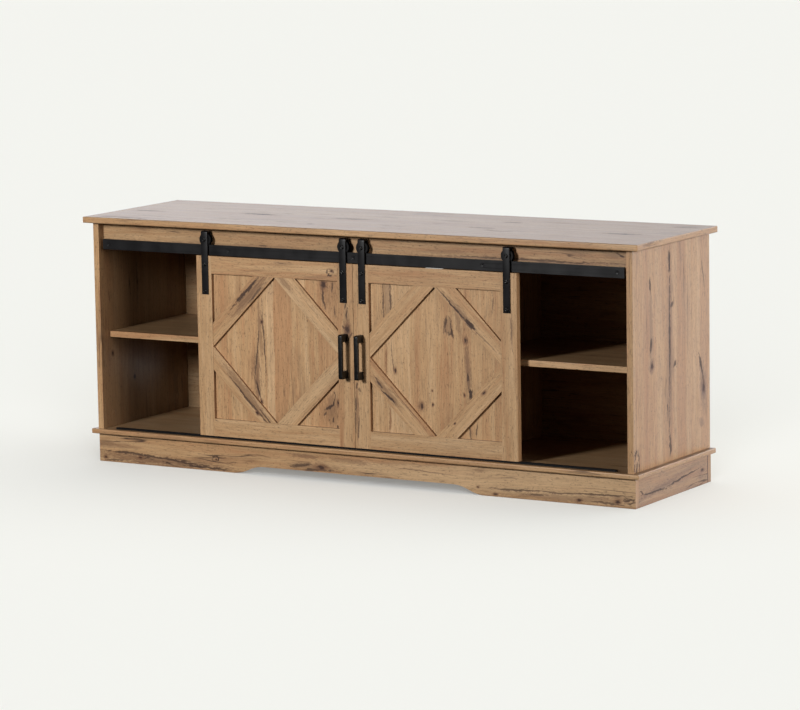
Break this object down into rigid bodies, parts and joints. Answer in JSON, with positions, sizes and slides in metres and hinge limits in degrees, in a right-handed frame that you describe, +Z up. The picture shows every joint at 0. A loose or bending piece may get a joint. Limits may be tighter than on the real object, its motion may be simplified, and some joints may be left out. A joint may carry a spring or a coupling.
{
  "type": "tv stand with doors",
  "caption": "Low wide media cabinet in oak decor with two black-railed sliding doors between open side bays with shelves, on a skirted plinth.",
  "frame": {"origin": "on the floor, at the middle of the overall width and depth (handles and top board included)", "axes": "+Z up, +X to the viewer's right when facing the doors, -Y out of the doors towards the viewer"},
  "size_m": [1.5, 0.4206, 0.6],
  "materials": {
    "oak_decor": "matt rustic oak decor with knots and cracks on particle board",
    "oak_back": "matt oak decor on thin fibreboard",
    "black_steel": "fine satin black powder coat",
    "black_plastic": "moulded black nylon",
    "zinc": "bright zinc plating",
    "felt": "pale self-adhesive felt"
  },
  "bodies": {
    "cabinet": {"top_board": "oak_decor", "left_side_panel": "oak_decor", "right_side_panel": "oak_decor", "left_divider": "oak_decor", "right_divider": "oak_decor", "base_board": "oak_decor", "fascia_board": "oak_decor", "left_back_panel": "oak_back", "centre_back_panel": "oak_back", "right_back_panel": "oak_back", "left_shelf": "oak_decor", "centre_shelf": "oak_decor", "right_shelf": "oak_decor", "front_skirt": "oak_decor", "rear_skirt": "oak_decor", "left_skirt": "oak_decor", "right_skirt": "oak_decor", "plinth_crossbar": "oak_decor", "centre_foot": "black_plastic", "track_rail": "black_steel", "track_spacers": "black_steel", "track_bolts": "black_steel", "guide_channel": "black_plastic", "guide_centre_stop": "black_plastic", "shelf_pins": "zinc", "cam_locks": "zinc", "cam_bolts": "zinc"},
    "left_door": {"left_door_panel": "oak_decor", "left_door_outer_stile": "oak_decor", "left_door_inner_stile": "oak_decor", "left_door_top_rail": "oak_decor", "left_door_bottom_rail": "oak_decor", "left_door_upper_braces": "oak_decor", "left_door_lower_braces": "oak_decor", "left_door_handle": "black_steel", "left_door_handle_screws": "zinc", "left_door_outer_strap": "black_steel", "left_door_inner_strap": "black_steel", "left_door_strap_bolts": "black_steel", "left_door_axle_bolts": "black_steel", "left_door_guide_pins": "black_plastic"},
    "right_door": {"right_door_panel": "oak_decor", "right_door_outer_stile": "oak_decor", "right_door_inner_stile": "oak_decor", "right_door_top_rail": "oak_decor", "right_door_bottom_rail": "oak_decor", "right_door_upper_braces": "oak_decor", "right_door_lower_braces": "oak_decor", "right_door_handle": "black_steel", "right_door_handle_screws": "zinc", "right_door_outer_strap": "black_steel", "right_door_inner_strap": "black_steel", "right_door_strap_bolts": "black_steel", "right_door_axle_bolts": "black_steel", "right_door_guide_pins": "black_plastic", "right_door_lift_pad": "felt"},
    "left_door_outer_wheel": {"left_door_outer_wheel": "black_plastic"},
    "left_door_inner_wheel": {"left_door_inner_wheel": "black_plastic"},
    "right_door_outer_wheel": {"right_door_outer_wheel": "black_plastic"},
    "right_door_inner_wheel": {"right_door_inner_wheel": "black_plastic"}
  },
  "joints": [
    {"name": "left_door_slide", "type": "slide", "parent": "cabinet", "child": "left_door", "axis": [-1, 0, 0], "range_m": [0, 0.2735]},
    {"name": "left_door_outer_wheel_spin", "type": "hinge", "parent": "left_door", "child": "left_door_outer_wheel", "pos_m": [-0.4095, -0.17615, 0.5578], "axis": [0, 1, 0], "range_deg": [-1310.9, 5]},
    {"name": "left_door_inner_wheel_spin", "type": "hinge", "parent": "left_door", "child": "left_door_inner_wheel", "pos_m": [-0.0255, -0.17615, 0.5578], "axis": [0, 1, 0], "range_deg": [-1310.9, 5]},
    {"name": "right_door_slide", "type": "slide", "parent": "cabinet", "child": "right_door", "axis": [1, 0, 0], "range_m": [0, 0.2735]},
    {"name": "right_door_outer_wheel_spin", "type": "hinge", "parent": "right_door", "child": "right_door_outer_wheel", "pos_m": [0.4095, -0.17615, 0.5578], "axis": [0, 1, 0], "range_deg": [-5, 1310.9]},
    {"name": "right_door_inner_wheel_spin", "type": "hinge", "parent": "right_door", "child": "right_door_inner_wheel", "pos_m": [0.0255, -0.17615, 0.5578], "axis": [0, 1, 0], "range_deg": [-5, 1310.9]}
  ],
  "couplings": [
    {"joint": "left_door_outer_wheel_spin", "follows": "left_door_slide", "rad_per_m": -83.333},
    {"joint": "left_door_inner_wheel_spin", "follows": "left_door_slide", "rad_per_m": -83.333},
    {"joint": "right_door_outer_wheel_spin", "follows": "right_door_slide", "rad_per_m": 83.333},
    {"joint": "right_door_inner_wheel_spin", "follows": "right_door_slide", "rad_per_m": 83.333}
  ]
}
